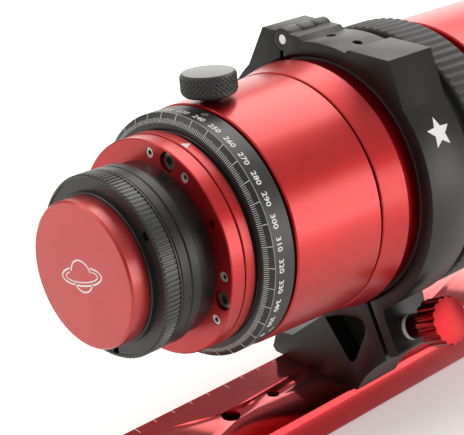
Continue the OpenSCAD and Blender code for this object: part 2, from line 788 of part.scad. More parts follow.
module objective_lens_middle() color(GLASS) lens(lens_r, 154.5, -150, 161.5, -260);

module objective_lens_front() color(GLASS) lens(lens_r, 163.5, 200, 173.5, 170);

module objective_spacer_back() color(BLACK) ring(36, lens_r, 148, 149.6, 0);

module objective_spacer_front() color(BLACK) ring(36, lens_r, 164.35, 166.7, 0);

module objective_retainer() color(BLACK)
    turned([[36, 169.95], [39.95, 169.7], [39.95, 173.6], [37.5, 173.6]]);

// ---- Dew shield and front cap

module dew_shield() color(RED)
    turned([
        [front_r + 2 * FIT, y_dew_back], [dew_r - 0.6, y_dew_back], [dew_r, y_dew_back + 0.6],
        [dew_r, y_dew_front - 0.6], [dew_r - 0.6, y_dew_front], [52, y_dew_front],
        [52, y_dew_back + 4], [front_r + 2 * FIT, y_dew_back + 4]
    ]);

module front_cap() color(RED)
    ring(0, dew_r, y_dew_front + 0.3, y_dew_front + 0.3 + front_cap_t, 0.7);

module front_cap_plug() color(RED)
    turned([
        [49, y_dew_front + 0.3], [49, y_dew_front - 11], [51.4, y_dew_front - 11],
        [51.4, y_dew_front - 8.2], [50.4, y_dew_front - 8.2], [50.4, y_dew_front - 3.8],
        [51.7, y_dew_front - 3.8], [51.7, y_dew_front + 0.3]
    ]);

module front_cap_seal() color("#161616")
    ring(50.42, 51.93, y_dew_front - 8.1, y_dew_front - 3.9, 0.3);

rear_cap();
adapter_grip_ring();
spacer_ring_rear();
spacer_ring_front();
adapter_nose();
tilt_plate();
tilt_push_screws();
tilt_pull_screws();
index_ring();
index_mark();
rotator_spigot();
rotator_retainer();
scale_ring();
scale_ring_screws();
rear_barrel();
lock_knob();
lock_shoe();
collar();
main_tube();
cradle_base();
cradle_arm();
hinge_pin();
cradle_felt_base();
cradle_felt_arm();
clamp_washer();
clamp_knob();
clamp_screw();
dovetail_bar();
dovetail_bolts();
focus_ring();
focus_grip();
focus_retainer();
lens_carriage();
corrector_lens_rear();
corrector_lens_front();
corrector_spacer();
corrector_retainer();
front_tube();
tube_baffles();
dew_felt();
objective_cell();
objective_lens_back();
objective_lens_middle();
objective_lens_front();
objective_spacer_back();
objective_spacer_front();
objective_retainer();
dew_shield();
front_cap();
front_cap_plug();
front_cap_seal();
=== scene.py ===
"""Looks of the small astrograph telescope: materials, engraved dial, knurls, ribs, emblems, light, camera.

Everything is in metres in the model's own frame: +Y along the optical axis towards the sky, +Z up.
"""
import math

import bmesh
import bpy
from mathutils import Matrix, Vector


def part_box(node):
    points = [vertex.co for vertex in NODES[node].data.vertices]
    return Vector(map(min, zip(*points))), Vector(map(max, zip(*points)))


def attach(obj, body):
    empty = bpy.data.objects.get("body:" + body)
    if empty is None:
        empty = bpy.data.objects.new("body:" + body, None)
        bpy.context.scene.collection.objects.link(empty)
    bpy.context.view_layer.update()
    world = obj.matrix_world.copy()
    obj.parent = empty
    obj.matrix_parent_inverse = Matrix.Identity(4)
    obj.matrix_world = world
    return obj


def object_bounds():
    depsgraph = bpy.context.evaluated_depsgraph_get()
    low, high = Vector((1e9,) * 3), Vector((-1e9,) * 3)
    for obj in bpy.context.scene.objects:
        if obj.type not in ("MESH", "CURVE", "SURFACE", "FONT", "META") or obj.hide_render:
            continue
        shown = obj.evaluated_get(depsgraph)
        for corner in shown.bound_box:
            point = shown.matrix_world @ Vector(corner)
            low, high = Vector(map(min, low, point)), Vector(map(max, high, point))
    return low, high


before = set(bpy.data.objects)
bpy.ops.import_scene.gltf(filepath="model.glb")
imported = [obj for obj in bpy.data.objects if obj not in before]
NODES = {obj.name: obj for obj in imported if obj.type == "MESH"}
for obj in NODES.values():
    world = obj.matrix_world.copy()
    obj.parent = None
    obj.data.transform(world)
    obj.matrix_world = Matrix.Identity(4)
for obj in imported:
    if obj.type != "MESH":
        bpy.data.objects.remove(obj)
cad_low, cad_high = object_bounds()

MM = 0.001
AXIS = (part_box("scale_ring")[0].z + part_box("scale_ring")[1].z) / 2


# ---- Places taken from the frame

def low_y(node):
    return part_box(node)[0].y


def high_y(node):
    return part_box(node)[1].y


def radius_of(node):
    """Outer radius of a node that is round about the optical axis."""
    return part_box(node)[1].x


def on_axis(radius, angle, y):
    """The point at that radius, world angle in degrees (from +X towards +Z) and station."""
    a = math.radians(angle)
    return Vector((radius * math.cos(a), y, AXIS + radius * math.sin(a)))


# ---- Materials

def material(name, colour, roughness, metallic=0.0):
    """A new material with its Principled shader's plain values set."""
    mat = bpy.data.materials.new(name)
    mat.use_nodes = True
    shader = mat.node_tree.nodes["Principled BSDF"]
    shader.inputs["Base Color"].default_value = (*colour, 1)
    shader.inputs["Roughness"].default_value = roughness
    shader.inputs["Metallic"].default_value = metallic
    return mat, shader


def add(mat, kind, **values):
    """A new node in a material; values set its sockets by name."""
    node = mat.node_tree.nodes.new(kind)
    for key, value in values.items():
        node.inputs[key.replace("_", " ")].default_value = value
    return node


def join(mat, source, target):
    mat.node_tree.links.new(source, target)


def arithmetic(mat, operation, a, b=None):
    """A Math node over two sockets or numbers."""
    node = mat.node_tree.nodes.new("ShaderNodeMath")
    node.operation = operation
    for i, value in enumerate((a, b)):
        if value is None:
            continue
        if isinstance(value, (int, float)):
            node.inputs[i].default_value = value
        else:
            join(mat, value, node.inputs[i])
    return node.outputs[0]


def place(mat):
    """The position on the object, which stays with a piece as it moves."""
    return add(mat, "ShaderNodeTexCoord").outputs["Object"]


def turned_place(mat):
    """A place that is the same all round the optical axis, for lathe marks."""
    parts = add(mat, "ShaderNodeSeparateXYZ")
    join(mat, place(mat), parts.inputs[0])
    x2 = arithmetic(mat, "MULTIPLY", parts.outputs["X"], parts.outputs["X"])
    z = arithmetic(mat, "SUBTRACT", parts.outputs["Z"], AXIS)
    z2 = arithmetic(mat, "MULTIPLY", z, z)
    radius = arithmetic(mat, "SQRT", arithmetic(mat, "ADD", x2, z2))
    where = add(mat, "ShaderNodeCombineXYZ")
    join(mat, radius, where.inputs[0])
    join(mat, parts.outputs["Y"], where.inputs[1])
    return where.outputs[0]


def noise(mat, where, scale, detail=3.0, rough=0.55):
    node = add(mat, "ShaderNodeTexNoise", Scale=scale, Detail=detail, Roughness=rough)
    join(mat, where, node.inputs["Vector"])
    return node.outputs["Fac"]


def spread(mat, source, low, high):
    """Maps noise, which stays near its middle, onto low to high."""
    node = mat.node_tree.nodes.new("ShaderNodeMapRange")
    node.inputs["From Min"].default_value = 0.3
    node.inputs["From Max"].default_value = 0.7
    node.inputs["To Min"].default_value = low
    node.inputs["To Max"].default_value = high
    join(mat, source, node.inputs["Value"])
    return node.outputs["Result"]


def bump(mat, shader, height, distance, strength=1.0):
    """Adds a bump over whatever bump the shader has already."""
    node = add(mat, "ShaderNodeBump", Distance=distance, Strength=strength)
    join(mat, height, node.inputs["Height"])
    if shader.inputs["Normal"].is_linked:
        join(mat, shader.inputs["Normal"].links[0].from_socket, node.inputs["Normal"])
    join(mat, node.outputs["Normal"], shader.inputs["Normal"])


def tint(mat, shader, factor, first, second):
    """Base colour that runs from one colour to the other with a factor."""
    ramp = mat.node_tree.nodes.new("ShaderNodeValToRGB")
    ramp.color_ramp.elements[0].color = (*first, 1)
    ramp.color_ramp.elements[1].color = (*second, 1)
    ramp.color_ramp.elements[0].position = 0.3
    ramp.color_ramp.elements[1].position = 0.7
    join(mat, factor, ramp.inputs["Fac"])
    join(mat, ramp.outputs["Color"], shader.inputs["Base Color"])


def anodised(name, colour, roughness, turned=True, coat=0.25, metallic=1.0, grain=0.000004):
    """Bead-blasted, anodised aluminium, with faint lathe marks where it was turned."""
    mat, shader = material(name, colour, roughness, metallic)
    shader.inputs["Coat Weight"].default_value = coat
    shader.inputs["Coat Roughness"].default_value = 0.26
    shader.inputs["Coat IOR"].default_value = 1.55
    where = place(mat)
    cloud = noise(mat, where, 60, 4)
    darker = [c * 0.94 for c in colour]
    lighter = [min(1, c * 1.05) for c in colour]
    tint(mat, shader, cloud, darker, lighter)
    fine = noise(mat, where, 4200, 2)
    join(mat, spread(mat, fine, roughness - 0.04, roughness + 0.05), shader.inputs["Roughness"])
    bump(mat, shader, fine, grain)
    if turned:
        bump(mat, shader, noise(mat, turned_place(mat), 3800, 1), 0.000003)
    return mat


def polished(name, colour, roughness, coat=0.5):
    """Bright anodised extrusion with fine lines along its length."""
    mat, shader = material(name, colour, roughness, 1.0)
    shader.inputs["Coat Weight"].default_value = coat
    shader.inputs["Coat Roughness"].default_value = 0.12
    stretch = add(mat, "ShaderNodeMapping")
    stretch.inputs["Scale"].default_value = (1, 0.02, 1)
    join(mat, place(mat), stretch.inputs["Vector"])
    lines = noise(mat, stretch.outputs["Vector"], 2600, 2)
    tint(mat, shader, noise(mat, place(mat), 45, 3), [c * 0.85 for c in colour], colour)
    join(mat, spread(mat, lines, roughness - 0.05, roughness + 0.08), shader.inputs["Roughness"])
    bump(mat, shader, lines, 0.0000025)
    return mat


def bare_metal(name, colour, roughness):
    """Machined screw steel or brass with small scratches."""
    mat, shader = material(name, colour, roughness, 1.0)
    where = place(mat)
    scratches = noise(mat, where, 2500, 4, 0.7)
    tint(mat, shader, noise(mat, where, 400, 3), [c * 0.8 for c in colour], colour)
    join(mat, spread(mat, scratches, roughness - 0.06, roughness + 0.12), shader.inputs["Roughness"])
    bump(mat, shader, scratches, 0.000006)
    return mat


def print_white(name, colour=(0.83, 0.83, 0.81)):
    """Paint that fills an engraving, a little uneven and worn; in grey it also paints the highlight along
    the dial bevel's outer edge.
    """
    mat, shader = material(name, colour, 0.55)
    where = place(mat)
    tint(mat, shader, noise(mat, where, 1800, 4, 0.7), [c * 0.82 for c in colour], colour)
    bump(mat, shader, noise(mat, where, 5000, 2), 0.000004)
    return mat


def moulded(name, colour, roughness, sheen=0.0, depth=0.00001, scale=3000):
    """Nylon, rubber or felt: a dielectric with its own grain."""
    mat, shader = material(name, colour, roughness)
    shader.inputs["Sheen Weight"].default_value = sheen
    where = place(mat)
    grain = noise(mat, where, scale, 5, 0.7)
    tint(mat, shader, grain, [c * 0.7 for c in colour], colour)
    bump(mat, shader, grain, depth)
    return mat


def coated_glass(name, colour):
    """Lens glass with a faint coating and an uneven tint."""
    mat, shader = material(name, colour, 0.02)
    shader.inputs["Transmission Weight"].default_value = 1.0
    shader.inputs["IOR"].default_value = 1.52
    shader.inputs["Coat Weight"].default_value = 0.6
    shader.inputs["Coat Roughness"].default_value = 0.03
    tint(mat, shader, noise(mat, place(mat), 30, 2), [c * 0.96 for c in colour], colour)
    return mat


def threaded(mat, pitch):
    """Screw-thread ridges along the optical axis, kept to the rear boss by its station."""
    shader = mat.node_tree.nodes["Principled BSDF"]
    parts = add(mat, "ShaderNodeSeparateXYZ")
    join(mat, turned_place(mat), parts.inputs[0])
    wave = arithmetic(mat, "PINGPONG", parts.outputs["Y"], pitch / 2)
    behind = arithmetic(mat, "LESS_THAN", parts.outputs["Y"], high_y("rear_cap"))
    outside = arithmetic(mat, "GREATER_THAN", parts.outputs["X"], 26.5 * MM)
    mask = arithmetic(mat, "MULTIPLY", behind, outside)
    bump(mat, shader, arithmetic(mat, "MULTIPLY", wave, mask), 1.0, 0.8)
    return mat


RED = (0.47, 0.008, 0.01)
BLACK = (0.009, 0.009, 0.0085)

red = anodised("red_anodised", RED, 0.48, coat=0.65)
red_cap = anodised("red_cap_anodised", (0.48, 0.028, 0.026), 0.52, coat=0.9, grain=0.000008)
# The main tube's red is a lighter copy of the red: painted light that makes up for the shade on the tube's
# short stretch between the collar and the cradle.
tube_red = anodised("tube_red_anodised", (0.5, 0.006, 0.01), 0.42, coat=0.3)
red_bar = polished("red_bar_anodised", (0.42, 0.008, 0.012), 0.1, coat=0.45)
red_knob = anodised("red_knob_anodised", (0.25, 0.004, 0.006), 0.3, turned=False, coat=0.15)
black = anodised("black_anodised", BLACK, 0.42, coat=0.0, metallic=0.0)
black_rear = anodised("black_adapter_anodised", (0.006, 0.006, 0.0057), 0.38, coat=0.0, metallic=0.0)
black_knurl = anodised("black_knurled", (0.02, 0.02, 0.019), 0.42, turned=False, coat=0.1, metallic=0.0)
black_cast = anodised("black_cradle_anodised", (0.005, 0.005, 0.0047), 0.4, turned=False,
                      coat=0.0, metallic=0.0)
for mat in (black_cast, black_rear):
    mat.node_tree.nodes["Principled BSDF"].inputs["Specular IOR Level"].default_value = 0.38
black_thread = threaded(anodised("black_threaded", (0.013, 0.013, 0.0125), 0.36, coat=0.0, metallic=0.0),
                        0.75 * MM)
# The ribs' black is lighter than the adapter's: a painted highlight for the catch light on the rib tops.
black_rib = anodised("black_ribbed_painted_highlight", (0.035, 0.035, 0.033), 0.4, turned=False, coat=0.2, metallic=0.0)
black_dial = anodised("black_dial_anodised", (0.015, 0.015, 0.0145), 0.42, coat=0.0, metallic=0.0)
matt_black = moulded("matt_black_anodised", (0.012, 0.012, 0.012), 0.8, depth=0.000004)
black_steel = bare_metal("black_oxide_steel", (0.2, 0.2, 0.17), 0.3)
steel = bare_metal("screw_steel", (0.62, 0.61, 0.59), 0.24)
bright_steel = bare_metal("bright_screw_steel", (0.92, 0.9, 0.85), 0.42)
brass = bare_metal("brass_shoe", (0.72, 0.52, 0.22), 0.3)
white = print_white("white_engraving")
# Near-black steel for discs that paint the shade inside the screw sockets.
socket_painted_shade = bare_metal("socket_shadow", (0.03, 0.03, 0.028), 0.45)
nylon = moulded("white_nylon", (0.82, 0.82, 0.78), 0.42, depth=0.000003, scale=900)
felt = moulded("black_felt", (0.016, 0.016, 0.017), 0.95, sheen=0.4, depth=0.00006, scale=2600)
rubber = moulded("black_rubber", (0.02, 0.02, 0.021), 0.62, sheen=0.15, depth=0.000012)
glass = coated_glass("lens_glass", (0.86, 0.95, 0.92))
knob_top = anodised("grey_knob_top", (0.235, 0.24, 0.233), 0.42, turned=False, coat=0.1, metallic=0.3)
# A light-grey line that paints the highlight along the dial bevel's outer edge.
edge_highlight_paint = print_white("painted_edge_highlight", (0.35, 0.35, 0.34))

FINISH = {
    "rear_cap": red_cap, "adapter_grip_ring": black_thread, "spacer_ring_rear": black_rear,
    "spacer_ring_front": black_rear, "adapter_nose": black_rear, "tilt_plate": red,
    "tilt_push_screws": bright_steel,
    "tilt_pull_screws": black_steel, "index_ring": red, "index_mark": white, "rotator_spigot": black,
    "rotator_retainer": black, "scale_ring": black_dial, "scale_ring_screws": bright_steel,
    "rear_barrel": red, "lock_knob": black_knurl, "lock_shoe": brass, "collar": red, "main_tube": tube_red,
    "cradle_base": black_cast, "cradle_arm": black_cast, "hinge_pin": steel,
    "cradle_felt_base": felt, "cradle_felt_arm": felt, "clamp_washer": nylon,
    "clamp_knob": red_knob, "clamp_screw": steel, "dovetail_bar": red_bar, "dovetail_bolts": steel,
    "focus_ring": black, "focus_grip": rubber, "focus_retainer": red, "lens_carriage": matt_black,
    "corrector_lens_rear": glass, "corrector_lens_front": glass, "corrector_spacer": matt_black,
    "corrector_retainer": matt_black, "front_tube": red, "tube_baffles": matt_black,
    "dew_felt": felt, "objective_cell": matt_black, "objective_lens_back": glass,
    "objective_lens_middle": glass, "objective_lens_front": glass,
    "objective_spacer_back": matt_black, "objective_spacer_front": matt_black,
    "objective_retainer": matt_black, "dew_shield": red, "front_cap": red_cap,
    "front_cap_plug": red_cap, "front_cap_seal": rubber,
}
for name, node in NODES.items():
    node.data.materials.clear()
    node.data.materials.append(FINISH[name])


# ---- Shading and broken edges of the carried-over nodes

def soften(obj, angle=32, bevel=0.0, segments=2):
    """Smooth faces with sharp corners kept, and the corners broken by a small bevel."""
    for face in obj.data.polygons:
        face.use_smooth = True
    weld = obj.modifiers.new("weld", "WELD")
    weld.merge_threshold = 0.000001
    if bevel:
        edge = obj.modifiers.new("bevel", "BEVEL")
        edge.width = bevel
        edge.segments = segments
        edge.limit_method = "ANGLE"
        edge.angle_limit = math.radians(angle)
    split = obj.modifiers.new("split", "EDGE_SPLIT")
    split.split_angle = math.radians(angle)


BROKEN_EDGES = {
    "cradle_base": 0.35 * MM, "cradle_arm": 0.35 * MM, "dovetail_bar": 0.3 * MM,
    "clamp_knob": 0.15 * MM, "tilt_push_screws": 0.12 * MM, "tilt_pull_screws": 0.2 * MM,
}
for name, node in NODES.items():
    soften(node, bevel=BROKEN_EDGES.get(name, 0.0))


# ---- Pieces built here

def piece(name, mesh_maker, mat, body, smooth=35):
    """A new object from a function that fills a bmesh, riding on a CAD body."""
    mesh = bpy.data.meshes.new(name)
    bm = bmesh.new()
    mesh_maker(bm)
    bmesh.ops.recalc_face_normals(bm, faces=bm.faces)
    bm.to_mesh(mesh)
    bm.free()
    mesh.materials.append(mat)
    obj = bpy.data.objects.new(name, mesh)
    bpy.context.scene.collection.objects.link(obj)
    soften(obj, smooth)
    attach(obj, body)
    return obj


def slab(bm, corners, lift):
    """A closed slab: a flat outline and its copy moved by the vector lift."""
    base = [bm.verts.new(p) for p in corners]
    top = [bm.verts.new(p + lift) for p in corners]
    bm.faces.new(base)
    bm.faces.new(top)
    for i in range(len(corners)):
        j = (i + 1) % len(corners)
        bm.faces.new((base[i], base[j], top[j], top[i]))


def lathe(bm, profile, steps, radius_at=lambda k, i, r: r):
    """A closed ring about the optical axis from (radius, station) points; radius_at can flute it."""
    rings = []
    for k in range(steps):
        angle = 360 * k / steps
        rings.append([
            bm.verts.new(on_axis(radius_at(k, i, r), angle, y)) for i, (r, y) in enumerate(profile)
        ])
    for k in range(steps):
        a, b = rings[k], rings[(k + 1) % steps]
        for i in range(len(profile)):
            j = (i + 1) % len(profile)
            bm.faces.new((a[i], a[j], b[j], b[i]))


def rim(radius, sides, across=Vector((1, 0, 0)), along=Vector((0, 0, 1))):
    """Offsets of a regular polygon's corners in the plane of two unit vectors."""
    angles = [2 * math.pi * k / sides for k in range(sides)]
    return [(across * math.cos(a) + along * math.sin(a)) * radius for a in angles]


# The graduated bevel: its back edge, its outer edge, and the land ahead of it
SCALE_R = radius_of("scale_ring")
BEVEL_DROP = 3.8 * MM
BEVEL_LENGTH = 2.3 * MM
BEVEL_BACK = Vector((SCALE_R - BEVEL_DROP, low_y("scale_ring")))
BEVEL_EDGE = Vector((SCALE_R, low_y("scale_ring") + BEVEL_LENGTH))
FIRST_NUMBER = 240
FIRST_ANGLE = 82.9
PAINT = 0.03 * MM


def dial_angle(number):
    """World angle of a number on the dial; the numbers grow clockwise seen from behind."""
    return FIRST_ANGLE - (number - FIRST_NUMBER)


def bevel_point(t, angle):
    """A point across the bevel: t is 0 at its back edge and 1 at its outer edge."""
    r, y = BEVEL_BACK.lerp(BEVEL_EDGE, t)
    return on_axis(r, angle, y)


def make_ticks(bm):
    """A tick every degree from the bevel's back edge, longest and widest at the tens."""
    slope = (BEVEL_EDGE - BEVEL_BACK).normalized()
    start = 0.04
    for number in range(360):
        tens = number % 10 == 0
        fives = number % 5 == 0
        width = 0.24 if tens else 0.17
        reach = 0.97 if tens else 0.52 if fives else 0.47
        angle = dial_angle(number)
        half = math.degrees(width * MM / 2 / SCALE_R)
        corners = [
            bevel_point(start, angle - half), bevel_point(start, angle + half),
            bevel_point(reach, angle + half), bevel_point(reach, angle - half)
        ]
        out = (on_axis(slope.y, angle, -slope.x) - on_axis(0, angle, 0)) * PAINT
        slab(bm, corners, out)


def make_edge_line(bm):
    """A thin light-grey line along the bevel's outer edge, a painted highlight of that edge."""
    r, y = BEVEL_EDGE
    line = 0.12 * MM
    lathe(bm, [
        (r - line, y - line * 0.7), (r - line, y - line * 0.7 - PAINT / 2),
        (r + PAINT, y - PAINT), (r + PAINT, y + line), (r, y + line)
    ], 240)


def glyph_mesh(text, size):
    """A flat mesh of generic sans digits, centred, in the X-Y plane."""
    curve = bpy.data.curves.new("digits", "FONT")
    curve.body = text
    curve.size = size
    curve.align_x = "CENTER"
    curve.align_y = "CENTER"
    curve.resolution_u = 3
    curve.offset = size * 0.015
    curve.space_character = 1.02
    temporary = bpy.data.objects.new("digits", curve)
    bpy.context.scene.collection.objects.link(temporary)
    bpy.context.view_layer.update()
    mesh = bpy.data.meshes.new_from_object(temporary)
    bpy.data.objects.remove(temporary)
    bpy.data.curves.remove(curve)
    return mesh


def lay_flat_shape(bm, mesh, place_point, lift):
    """Takes a flat mesh through place_point(x, y) into bm and gives it the thickness of paint."""
    bm.from_mesh(mesh)
    for v in bm.verts:
        v.co = place_point(v.co.x, v.co.y)
    raised = bmesh.ops.extrude_face_region(bm, geom=list(bm.faces))
    for v in (g for g in raised["geom"] if isinstance(g, bmesh.types.BMVert)):
        v.co += lift(v.co)


def outward(thickness):
    """Moves a point away from the optical axis."""
    def move(p):
        return Vector((p.x, 0, p.z - AXIS)).normalized() * thickness
    return move


DIGIT_SIZE = 3.3 * MM
DIGIT_WIDEN = 1.12
DIGIT_STATION = BEVEL_EDGE.y + 3.1 * MM


def make_number(number):
    """A maker for one number, wrapped on the land with its tops towards the sky."""
    def fill(bm):
        mesh = glyph_mesh(str(number), DIGIT_SIZE)
        centre = dial_angle(number)

        def wrap(x, y):
            turn = math.degrees(x * DIGIT_WIDEN / SCALE_R)
            return on_axis(SCALE_R + 0.005 * MM, centre - turn, DIGIT_STATION + y)
        lay_flat_shape(bm, mesh, wrap, outward(PAINT))
        bpy.data.meshes.remove(mesh)
    return fill


piece("dial_ticks", make_ticks, white, "telescope_tube")
piece("dial_edge_line", make_edge_line, edge_highlight_paint, "telescope_tube")
for number in range(0, 360, 10):
    piece(f"dial_number_{number:03d}", make_number(number), white, "telescope_tube")


# Screws of the tilt plate, in four groups of one pull screw between two push screws
TILT_CIRCLE = 37.4 * MM
TILT_SPREAD = 14.8
FIRST_TILT = 76.5
TILT_GROUPS = 4
GROUP_STEP = 360 / TILT_GROUPS
FLOOR_T = 0.4 * MM


def make_socket_floors(radius, depth, offsets):
    """A maker for dark discs sunk in hexagon sockets that paint the shade inside them, at angles off the
    middle of each group.
    """
    def fill(bm):
        face = low_y("tilt_plate") + depth
        for group in range(TILT_GROUPS):
            for offset in offsets:
                centre = on_axis(TILT_CIRCLE, FIRST_TILT + GROUP_STEP * group + offset, face)
                slab(bm, [centre + p for p in rim(radius, 6)], Vector((0, FLOOR_T, 0)))
    return fill


# Painted shade: dark discs sunk in the tilt screws' hexagon sockets.
piece("push_screw_socket_shade", make_socket_floors(1.05 * MM, 0.75 * MM, (-TILT_SPREAD, TILT_SPREAD)),
      socket_painted_shade, "camera_rotator")
piece("pull_screw_socket_shade", make_socket_floors(1.6 * MM, 1.6 * MM, (0,)), socket_painted_shade,
      "camera_rotator")


def make_plate_plugs(bm):
    """Flush red plugs that close three of the tilt plate's four blind holes."""
    proud = 0.01 * MM
    circle = TILT_CIRCLE - 0.6 * MM
    plug_r = 1.85 * MM
    for group in range(1, TILT_GROUPS):
        angle = FIRST_TILT - GROUP_STEP / 2 - GROUP_STEP * group
        centre = on_axis(circle, angle, low_y("tilt_plate") - proud)
        slab(bm, [centre + p for p in rim(plug_r, 36)], Vector((0, 1 * MM, 0)))


piece("tilt_plate_plugs", make_plate_plugs, red, "camera_rotator")

GRUB_ANGLE = 84.4
GRUBS = 3


def make_grub_sockets(bm):
    """Dark discs in the sockets of the grub screws on the dial's land, painting the shade inside them."""
    y = BEVEL_EDGE.y + 7.2 * MM
    sunk = 1.1 * MM
    for k in range(GRUBS):
        angle = GRUB_ANGLE + 360 / GRUBS * k
        across = on_axis(1, angle + 90, y) - on_axis(0, angle, y)
        out = on_axis(1, angle, y) - on_axis(0, angle, y)
        corners = rim(0.7 * MM, 6, across, Vector((0, 1, 0)))
        centre = on_axis(SCALE_R - sunk, angle, y)
        slab(bm, [centre + p for p in corners], out * 0.2 * MM)


# Painted shade: dark discs sunk in the grub screws' sockets.
piece("grub_socket_shade", make_grub_sockets, socket_painted_shade, "telescope_tube")


def ribbed_band(y0, y1, root, depth, count, edge):
    """A maker for a band of square ribs, lower at their ends, that stand on a turned surface."""
    def fill(bm):
        heights = (0.0, 0.0, 0.0, 1.0, 1.0, 1.0)
        steps = count * len(heights)
        profile = [
            (root - depth, y0), (root, y0), (root, y0 + edge), (root, y1 - edge), (root, y1),
            (root - depth, y1)
        ]

        def flute(k, i, r):
            full = depth * heights[k % len(heights)]
            return r + (full if i in (2, 3) else full * 0.25 if i in (1, 4) else 0)
        lathe(bm, profile, steps, flute)
    return fill


# Fine axial ribs on the adapter's grip ring
GRIP = "adapter_grip_ring"
RIB_HEIGHT = 0.5 * MM
piece("adapter_grip_ribs", ribbed_band(high_y(GRIP) - 7.0 * MM, high_y(GRIP) - 1.0 * MM,
                                       radius_of(GRIP) - RIB_HEIGHT, RIB_HEIGHT, 116, 0.3 * MM),
      black_rib, "camera_rotator")


# Diamond knurl and grey top of the lock knob, built upright and turned to the knob's angle
KNOB_ANGLE = 96
KNOB_Y = (low_y("lock_knob") + high_y("lock_knob")) / 2
knob_turn = Matrix.Translation(Vector((0, KNOB_Y, AXIS))) \
    @ Matrix.Rotation(math.radians(90 - KNOB_ANGLE), 4, "Y")
KNOB_R = 10.5 * MM
KNOB_LOW = 50.7 * MM
KNOB_TOP = 59.3 * MM


def knob_ring(bm, radii, z):
    """New vertices about the knob's own axis, one for each radius."""
    steps = len(radii)
    angles = [2 * math.pi * k / steps for k in range(steps)]
    return [
        bm.verts.new(knob_turn @ Vector((r * math.cos(a), r * math.sin(a), z)))
        for r, a in zip(radii, angles)
    ]


def bridge(bm, a, b):
    """Faces between two rings of as many vertices."""
    for k in range(len(a)):
        j = (k + 1) % len(a)
        bm.faces.new((a[k], a[j], b[j], b[k]))


def make_knurl(bm):
    """Two crossing helical grooves cut into a sleeve, which fade out at its ends."""
    steps, rows = 144, 26
    low, high = KNOB_LOW + 1.0 * MM, KNOB_TOP - 0.7 * MM
    depth = 0.38 * MM
    root = KNOB_R - 0.1 * MM
    teeth = 36

    def radius(k, row):
        u = teeth * k / steps
        v = (row / rows) * teeth * (high - low) / (2 * math.pi * KNOB_R)
        one = abs(((u + v) % 1) - 0.5) * 2
        two = abs(((u - v) % 1) - 0.5) * 2
        return root + depth * min(one, two) * 1.6
    rings = []
    for row in range(rows + 1):
        fade = min(1.0, row / 2, (rows - row) / 2)
        radii = [KNOB_R + (radius(k, row) - KNOB_R) * fade for k in range(steps)]
        rings.append(knob_ring(bm, radii, low + (high - low) * row / rows))
    for level, z in ((rings[0], low), (rings[-1], high)):
        bridge(bm, level, knob_ring(bm, [KNOB_R - 0.6 * MM] * steps, z))
    for a, b in zip(rings, rings[1:]):
        bridge(bm, a, b)


def make_knob_top(bm):
    """The knob's flat grey face with a softened rim."""
    steps = 96
    face = KNOB_TOP + 0.06 * MM
    profile = ((9.2, 0.0), (9.8, -0.08), (9.95, -0.25))
    rings = [knob_ring(bm, [r * MM] * steps, face + drop * MM) for r, drop in profile]
    bm.faces.new(rings[0])
    bm.faces.new(rings[-1])
    for a, b in zip(rings, rings[1:]):
        bridge(bm, a, b)


piece("lock_knob_knurl", make_knurl, black_knurl, "lock_knob", smooth=20)
piece("lock_knob_face", make_knob_top, knob_top, "lock_knob")


# Ribs of the focus ring's rubber grip
FOCUS = "focus_grip"
piece("focus_grip_ribs", ribbed_band(low_y(FOCUS) + 0.8 * MM, high_y(FOCUS) - 0.8 * MM,
                                     radius_of(FOCUS), 0.6 * MM, 90, 0.8 * MM), rubber, "focus_ring")


# Emblem on the cradle's arm: a plain five-pointed star
def make_star(bm):
    outer, inner = 6.6 * MM, 3.0 * MM
    arm_r = 58.6 * MM
    radius = arm_r + 0.01 * MM
    middle = 32
    rows_out = 6
    points = []
    for i in range(10):
        r = outer if i % 2 == 0 else inner
        a = math.radians(90 + 36 * i)
        points.append((r * math.cos(a), r * math.sin(a)))

    def wrap(x, y):
        return on_axis(radius, middle + math.degrees(y / arm_r), x)
    outline = []
    for (x0, y0), (x1, y1) in zip(points, points[1:] + points[:1]):
        outline += [(x0 + (x1 - x0) * t, y0 + (y1 - y0) * t) for t in (0, 0.25, 0.5, 0.75)]
    centre = bm.verts.new(wrap(0, 0))
    rows = [
        [bm.verts.new(wrap(x * k / rows_out, y * k / rows_out)) for x, y in outline]
        for k in range(1, rows_out + 1)
    ]
    faces = [bm.faces.new((centre, a, b)) for a, b in zip(rows[0], rows[0][1:] + rows[0][:1])]
    for low, high in zip(rows, rows[1:]):
        for i in range(len(low)):
            j = (i + 1) % len(low)
            faces.append(bm.faces.new((low[i], low[j], high[j], high[i])))
    raised = bmesh.ops.extrude_face_region(bm, geom=faces)
    move = outward(0.06 * MM)
    for v in (g for g in raised["geom"] if isinstance(g, bmesh.types.BMVert)):
        v.co += move(v.co)


piece("cradle_emblem", make_star, white, "cradle_arm")


# Emblem on the rear cap: a ringed planet in outline
def stroke(bm, points, width):
    """A thin raised line on the cap's rear face through (x, z) points."""
    y = low_y("rear_cap")
    base, top = y - 0.005 * MM, y - 0.04 * MM
    left, right = [], []
    for i, p in enumerate(points):
        before = points[max(i - 1, 0)]
        after = points[min(i + 1, len(points) - 1)]
        heading = (Vector(after) - Vector(before)).normalized()
        side = Vector((-heading.y, heading.x)) * width / 2
        for row, sign in ((left, 1), (right, -1)):
            q = Vector(p) + side * sign
            row.append((
                bm.verts.new((q.x, base, AXIS + q.y)),
                bm.verts.new((q.x, top, AXIS + q.y))
            ))
    for i in range(len(points) - 1):
        j = i + 1
        bm.faces.new((left[i][1], left[j][1], right[j][1], right[i][1]))
        bm.faces.new((left[i][0], left[j][0], right[j][0], right[i][0]))
        bm.faces.new((left[i][0], left[j][0], left[j][1], left[i][1]))
        bm.faces.new((right[i][0], right[j][0], right[j][1], right[i][1]))
    for end in (0, len(points) - 1):
        bm.faces.new((left[end][0], left[end][1], right[end][1], right[end][0]))


